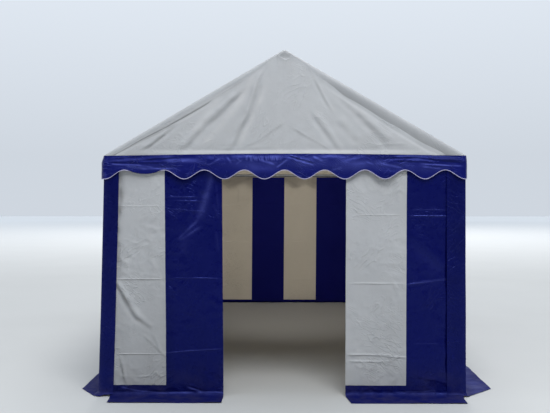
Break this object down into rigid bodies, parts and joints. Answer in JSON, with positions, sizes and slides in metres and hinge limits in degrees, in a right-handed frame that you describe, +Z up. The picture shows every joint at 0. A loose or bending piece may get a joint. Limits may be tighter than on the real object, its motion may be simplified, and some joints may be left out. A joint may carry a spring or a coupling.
{
  "type": "party tent",
  "caption": "Party tent with a blue and white striped cover, scalloped valance, gable roof and open doorway on a steel tube frame.",
  "frame": {"origin": "on the ground, in the middle of the tent's floor", "axes": "+X to the right as seen from in front of the doorway, +Y from the doorway to the back wall, along the ridge, +Z up"},
  "size_m": [3.5594, 6.4608, 2.8726],
  "materials": {
    "white_cloth": "satin",
    "blue_cloth": "satin",
    "frame_tube": "satin",
    "frame_joint": "matte"
  },
  "bodies": {
    "root": {"roof_cover": "white_cloth", "valance": "blue_cloth", "front_gable": "white_cloth", "back_gable": "white_cloth", "front_left_panel_white": "white_cloth", "front_left_panel_blue": "blue_cloth", "front_right_panel_white": "white_cloth", "front_right_panel_blue": "blue_cloth", "back_wall_white": "white_cloth", "back_wall_blue": "blue_cloth", "left_wall_white": "white_cloth", "left_wall_blue": "blue_cloth", "right_wall_white": "white_cloth", "right_wall_blue": "blue_cloth", "left_leg_1": "frame_tube", "left_leg_2": "frame_tube", "left_leg_3": "frame_tube", "right_leg_1": "frame_tube", "right_leg_2": "frame_tube", "right_leg_3": "frame_tube", "left_rafter_1": "frame_tube", "left_rafter_2": "frame_tube", "left_rafter_3": "frame_tube", "right_rafter_1": "frame_tube", "right_rafter_2": "frame_tube", "right_rafter_3": "frame_tube", "ridge_tube_1": "frame_tube", "ridge_tube_2": "frame_tube", "left_eave_tube_1": "frame_tube", "left_eave_tube_2": "frame_tube", "right_eave_tube_1": "frame_tube", "right_eave_tube_2": "frame_tube", "front_rail": "frame_tube", "back_rail": "frame_tube", "ridge_joint_1": "frame_joint", "ridge_joint_2": "frame_joint", "ridge_joint_3": "frame_joint", "left_eave_joint_1": "frame_joint", "left_eave_joint_2": "frame_joint", "left_eave_joint_3": "frame_joint", "right_eave_joint_1": "frame_joint", "right_eave_joint_2": "frame_joint", "right_eave_joint_3": "frame_joint"}
  },
  "joints": []
}
